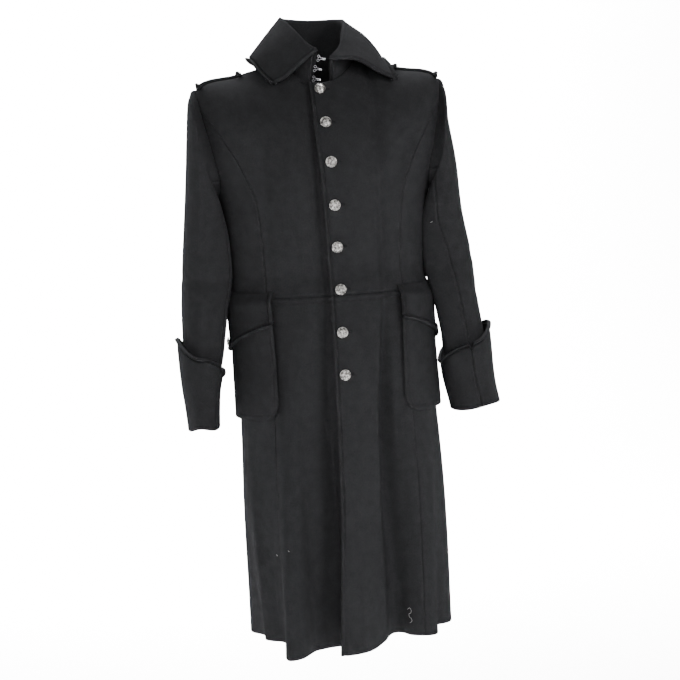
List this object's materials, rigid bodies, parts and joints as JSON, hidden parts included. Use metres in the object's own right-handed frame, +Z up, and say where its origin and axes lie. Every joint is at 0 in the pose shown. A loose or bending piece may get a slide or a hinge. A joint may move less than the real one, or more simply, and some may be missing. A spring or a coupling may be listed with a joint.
{
  "type": "overcoat",
  "caption": "Long single-breasted wool overcoat held in its worn hollow shape, with stand-and-fall collar, turn-back cuffs, shoulder straps and flapped hip pockets.",
  "frame": {"origin": "midway between the two shoulder-neck points, where the wearer's shoulders carry the coat", "axes": "+Z up along the wearer, -Y is the front of the coat, +X is the wearer's left"},
  "size_m": [0.6091, 0.3153, 1.1826],
  "materials": {
    "wool_cloth": "matte milled wool",
    "collar_lining": "matte milled wool, inside of the collar",
    "button_metal": "satin pewter-coloured metal",
    "hook_wire": "bright wire"
  },
  "bodies": {
    "root": {"front_left": "wool_cloth", "front_right": "wool_cloth", "back_bodice": "wool_cloth", "side_bodice_left": "wool_cloth", "side_bodice_right": "wool_cloth", "skirt_front_left": "wool_cloth", "skirt_front_right": "wool_cloth", "skirt_side_left": "wool_cloth", "skirt_side_right": "wool_cloth", "skirt_back": "wool_cloth", "sleeve_top_left": "wool_cloth", "sleeve_under_left": "wool_cloth", "sleeve_top_right": "wool_cloth", "sleeve_under_right": "wool_cloth", "cuff_left": "wool_cloth", "cuff_right": "wool_cloth", "collar_stand": "collar_lining", "collar_leaf": "wool_cloth", "pocket_left": "wool_cloth", "pocket_right": "wool_cloth", "pocket_flap_left": "wool_cloth", "pocket_flap_right": "wool_cloth", "shoulder_strap_left": "wool_cloth", "strap_keeper_inner_left": "wool_cloth", "strap_keeper_outer_left": "wool_cloth", "shoulder_strap_right": "wool_cloth", "strap_keeper_inner_right": "wool_cloth", "strap_keeper_outer_right": "wool_cloth", "front_button_1": "button_metal", "front_button_2": "button_metal", "front_button_3": "button_metal", "front_button_4": "button_metal", "front_button_5": "button_metal", "front_button_6": "button_metal", "front_button_7": "button_metal", "front_button_8": "button_metal", "pocket_button_left": "button_metal", "pocket_button_right": "button_metal", "collar_hook_1": "hook_wire", "collar_hook_2": "hook_wire", "collar_hook_3": "hook_wire"}
  },
  "joints": []
}
